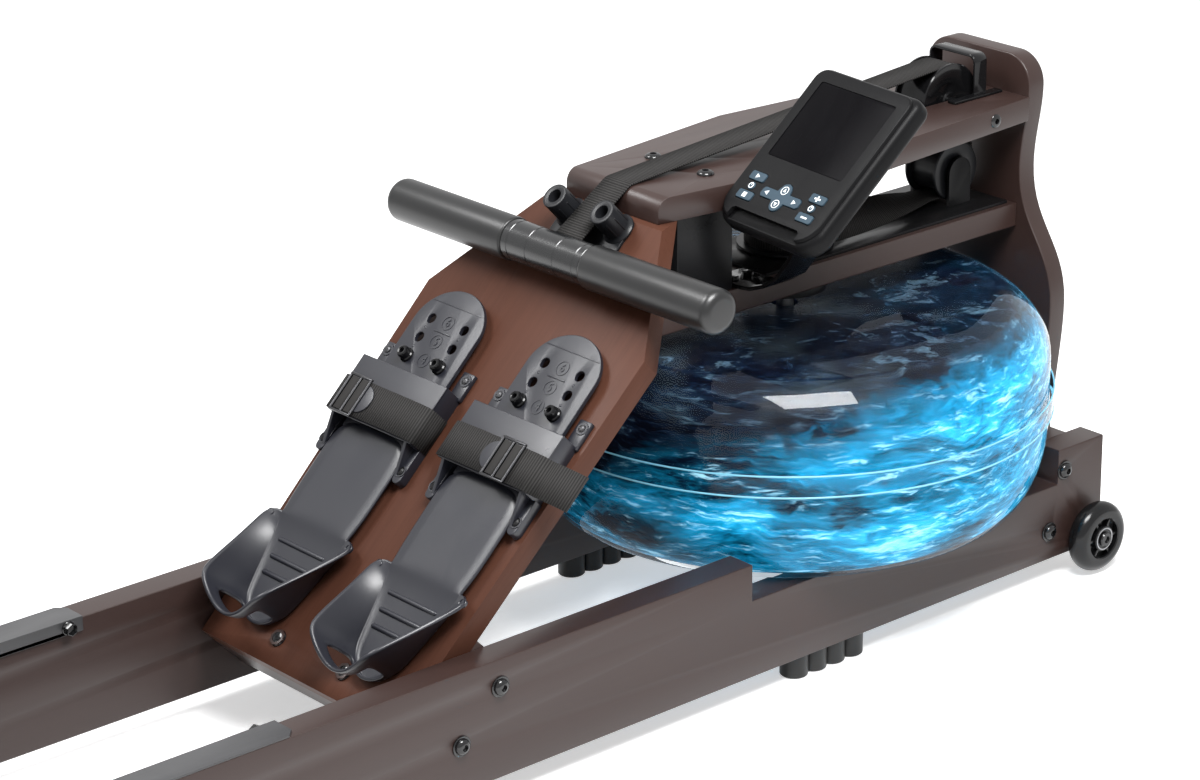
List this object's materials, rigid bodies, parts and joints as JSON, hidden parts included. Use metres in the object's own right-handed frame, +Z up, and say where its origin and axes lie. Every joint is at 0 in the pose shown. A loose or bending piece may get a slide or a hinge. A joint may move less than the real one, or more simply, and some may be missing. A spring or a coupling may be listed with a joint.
{
  "type": "water rowing machine",
  "caption": "Rowing machine with timber rails, a round water tank driven by a pull strap, an inclined foot board, a sliding seat and a display console.",
  "frame": {"origin": "centre of the overall bounding box, on the floor", "axes": "+X runs along the rails from the seat end to the tank end, +Y to the left of a rower who faces the tank, +Z up"},
  "size_m": [2.0997, 0.5546, 0.5897],
  "materials": {
    "timber": "dark brown stained hardwood, satin",
    "track_steel": "grey satin",
    "black_steel": "black satin",
    "bright_steel": "bright",
    "foot_rubber": "black matt",
    "clear_plastic": "clear gloss",
    "water": "blue dyed water",
    "black_plastic": "black moulded, satin",
    "gloss_black": "black gloss",
    "webbing": "black woven webbing",
    "grip_foam": "black closed cell foam, matt",
    "seat_skin": "black synthetic leather",
    "key_rubber": "blue grey silicone"
  },
  "bodies": {
    "frame": {"near_rail": "timber", "far_rail": "timber", "near_track": "track_steel", "far_track": "track_steel", "foot_board": "timber", "foot_beam": "timber", "lower_board": "timber", "top_board": "timber", "front_panel": "timber", "front_beam": "timber", "rear_beam": "timber", "near_front_foot": "foot_rubber", "far_front_foot": "foot_rubber", "rear_foot": "foot_rubber", "wheel_axle": "bright_steel", "tank_lower_shell": "clear_plastic", "tank_upper_shell": "clear_plastic", "tank_seam_band": "clear_plastic", "water": "water", "bearing_housing": "black_plastic", "pulley_base": "black_steel", "top_pulley_bracket": "black_steel", "drive_strap": "webbing", "handle_strap": "webbing", "recoil_cord": "webbing", "nose_bracket": "black_steel", "handle_rest": "black_plastic", "near_foot_bridge": "black_plastic", "far_foot_bridge": "black_plastic", "near_foot_strap": "webbing", "far_foot_strap": "webbing", "near_strap_buckle": "bright_steel", "far_strap_buckle": "bright_steel", "console_arm": "black_steel"},
    "handle": {"handle_core": "black_plastic", "near_grip": "grip_foam", "far_grip": "grip_foam"},
    "top_pulley": {"top_pulley": "gloss_black"},
    "guide_pulley": {"guide_pulley": "black_plastic"},
    "drum": {"drive_drum": "black_plastic"},
    "recoil_pulley": {"recoil_pulley": "black_plastic"},
    "impeller": {"impeller": "bright_steel"},
    "filler_plug": {"filler_plug": "foot_rubber"},
    "near_wheel": {"near_wheel": "foot_rubber"},
    "far_wheel": {"far_wheel": "foot_rubber"},
    "near_foot_plate": {"near_foot_plate": "black_plastic"},
    "far_foot_plate": {"far_foot_plate": "black_plastic"},
    "seat": {"seat_carriage": "black_steel", "seat_cushion": "seat_skin"},
    "front_rollers": {"front_seat_rollers": "black_plastic"},
    "rear_rollers": {"rear_seat_rollers": "black_plastic"},
    "console": {"console_body": "black_plastic", "console_screen": "gloss_black"},
    "upper_left_key": {"upper_left_key": "key_rubber"},
    "lower_left_key": {"lower_left_key": "key_rubber"},
    "upper_right_key": {"upper_right_key": "key_rubber"},
    "lower_right_key": {"lower_right_key": "key_rubber"},
    "left_round_key": {"left_round_key": "key_rubber"},
    "right_round_key": {"right_round_key": "key_rubber"},
    "direction_pad": {"direction_pad": "key_rubber"}
  },
  "joints": [
    {"name": "handle_pull", "type": "slide", "parent": "frame", "child": "handle", "axis": [-0.9982, 0, 0.0599], "range_m": [0, 1.2], "stiffness_N_per_m": 20, "springref_m": -1, "deforming": ["handle_strap"]},
    {"name": "top_pulley_spin", "type": "hinge", "parent": "frame", "child": "top_pulley", "pos_m": [0.962, 0, 0.4875], "axis": [0, -1, 0], "range_deg": [0, 1830]},
    {"name": "guide_pulley_spin", "type": "hinge", "parent": "frame", "child": "guide_pulley", "pos_m": [0.973, 0, 0.41], "axis": [0, -1, 0], "range_deg": [0, 2586]},
    {"name": "drum_spin", "type": "hinge", "parent": "frame", "child": "drum", "pos_m": [0.7467, 0, 0.4081], "axis": [0, 0, 1], "range_deg": [0, 1654]},
    {"name": "recoil_pulley_spin", "type": "hinge", "parent": "frame", "child": "recoil_pulley", "pos_m": [0.592, 0.006, 0.4296], "axis": [0, 0, 1], "range_deg": [0, 1327]},
    {"name": "impeller_spin", "type": "hinge", "parent": "frame", "child": "impeller", "pos_m": [0.7467, 0, 0.2811], "axis": [0, 0, 1], "continuous": true},
    {"name": "filler_plug_pull", "type": "slide", "parent": "frame", "child": "filler_plug", "axis": [0, 0, 1], "range_m": [0, 0.014]},
    {"name": "near_wheel_spin", "type": "hinge", "parent": "frame", "child": "near_wheel", "pos_m": [1.012, -0.201, 0.04], "axis": [0, 1, 0], "continuous": true},
    {"name": "far_wheel_spin", "type": "hinge", "parent": "frame", "child": "far_wheel", "pos_m": [1.012, 0.201, 0.04], "axis": [0, 1, 0], "continuous": true},
    {"name": "near_foot_plate_slide", "type": "slide", "parent": "frame", "child": "near_foot_plate", "axis": [0.7219, 0, 0.692], "range_m": [-0.044, 0.044]},
    {"name": "far_foot_plate_slide", "type": "slide", "parent": "frame", "child": "far_foot_plate", "axis": [0.7219, 0, 0.692], "range_m": [-0.044, 0.044]},
    {"name": "seat_slide", "type": "slide", "parent": "frame", "child": "seat", "axis": [1, 0, 0], "range_m": [-0.43, 0.33]},
    {"name": "front_rollers_spin", "type": "hinge", "parent": "seat", "child": "front_rollers", "pos_m": [-0.4, 0, 0.166], "axis": [0, 1, 0], "range_deg": [-1233, 947]},
    {"name": "rear_rollers_spin", "type": "hinge", "parent": "seat", "child": "rear_rollers", "pos_m": [-0.56, 0, 0.166], "axis": [0, 1, 0], "range_deg": [-1233, 947]},
    {"name": "console_tilt", "type": "hinge", "parent": "frame", "child": "console", "pos_m": [0.63653, -0.15409, 0.47995], "axis": [0.1028, 0.9947, 0], "range_deg": [0, 30]},
    {"name": "upper_left_key_press", "type": "slide", "parent": "console", "child": "upper_left_key", "axis": [0.672, -0.0694, -0.7373], "range_m": [0, 0.001], "stiffness_N_per_m": 600, "springref_m": -0.0006},
    {"name": "lower_left_key_press", "type": "slide", "parent": "console", "child": "lower_left_key", "axis": [0.672, -0.0694, -0.7373], "range_m": [0, 0.001], "stiffness_N_per_m": 600, "springref_m": -0.0006},
    {"name": "upper_right_key_press", "type": "slide", "parent": "console", "child": "upper_right_key", "axis": [0.672, -0.0694, -0.7373], "range_m": [0, 0.001], "stiffness_N_per_m": 600, "springref_m": -0.0006},
    {"name": "lower_right_key_press", "type": "slide", "parent": "console", "child": "lower_right_key", "axis": [0.672, -0.0694, -0.7373], "range_m": [0, 0.001], "stiffness_N_per_m": 600, "springref_m": -0.0006},
    {"name": "left_round_key_press", "type": "slide", "parent": "console", "child": "left_round_key", "axis": [0.672, -0.0694, -0.7373], "range_m": [0, 0.001], "stiffness_N_per_m": 600, "springref_m": -0.0006},
    {"name": "right_round_key_press", "type": "slide", "parent": "console", "child": "right_round_key", "axis": [0.672, -0.0694, -0.7373], "range_m": [0, 0.001], "stiffness_N_per_m": 600, "springref_m": -0.0006},
    {"name": "direction_pad_press", "type": "slide", "parent": "console", "child": "direction_pad", "axis": [0.672, -0.0694, -0.7373], "range_m": [0, 0.001], "stiffness_N_per_m": 600, "springref_m": -0.0006}
  ],
  "couplings": [
    {"joint": "top_pulley_spin", "follows": "handle_pull", "rad_per_m": 26.596},
    {"joint": "guide_pulley_spin", "follows": "handle_pull", "rad_per_m": 37.594},
    {"joint": "drum_spin", "follows": "handle_pull", "rad_per_m": 24.038},
    {"joint": "recoil_pulley_spin", "follows": "handle_pull", "rad_per_m": 19.278},
    {"joint": "front_rollers_spin", "follows": "seat_slide", "rad_per_m": 50},
    {"joint": "rear_rollers_spin", "follows": "seat_slide", "rad_per_m": 50}
  ]
}
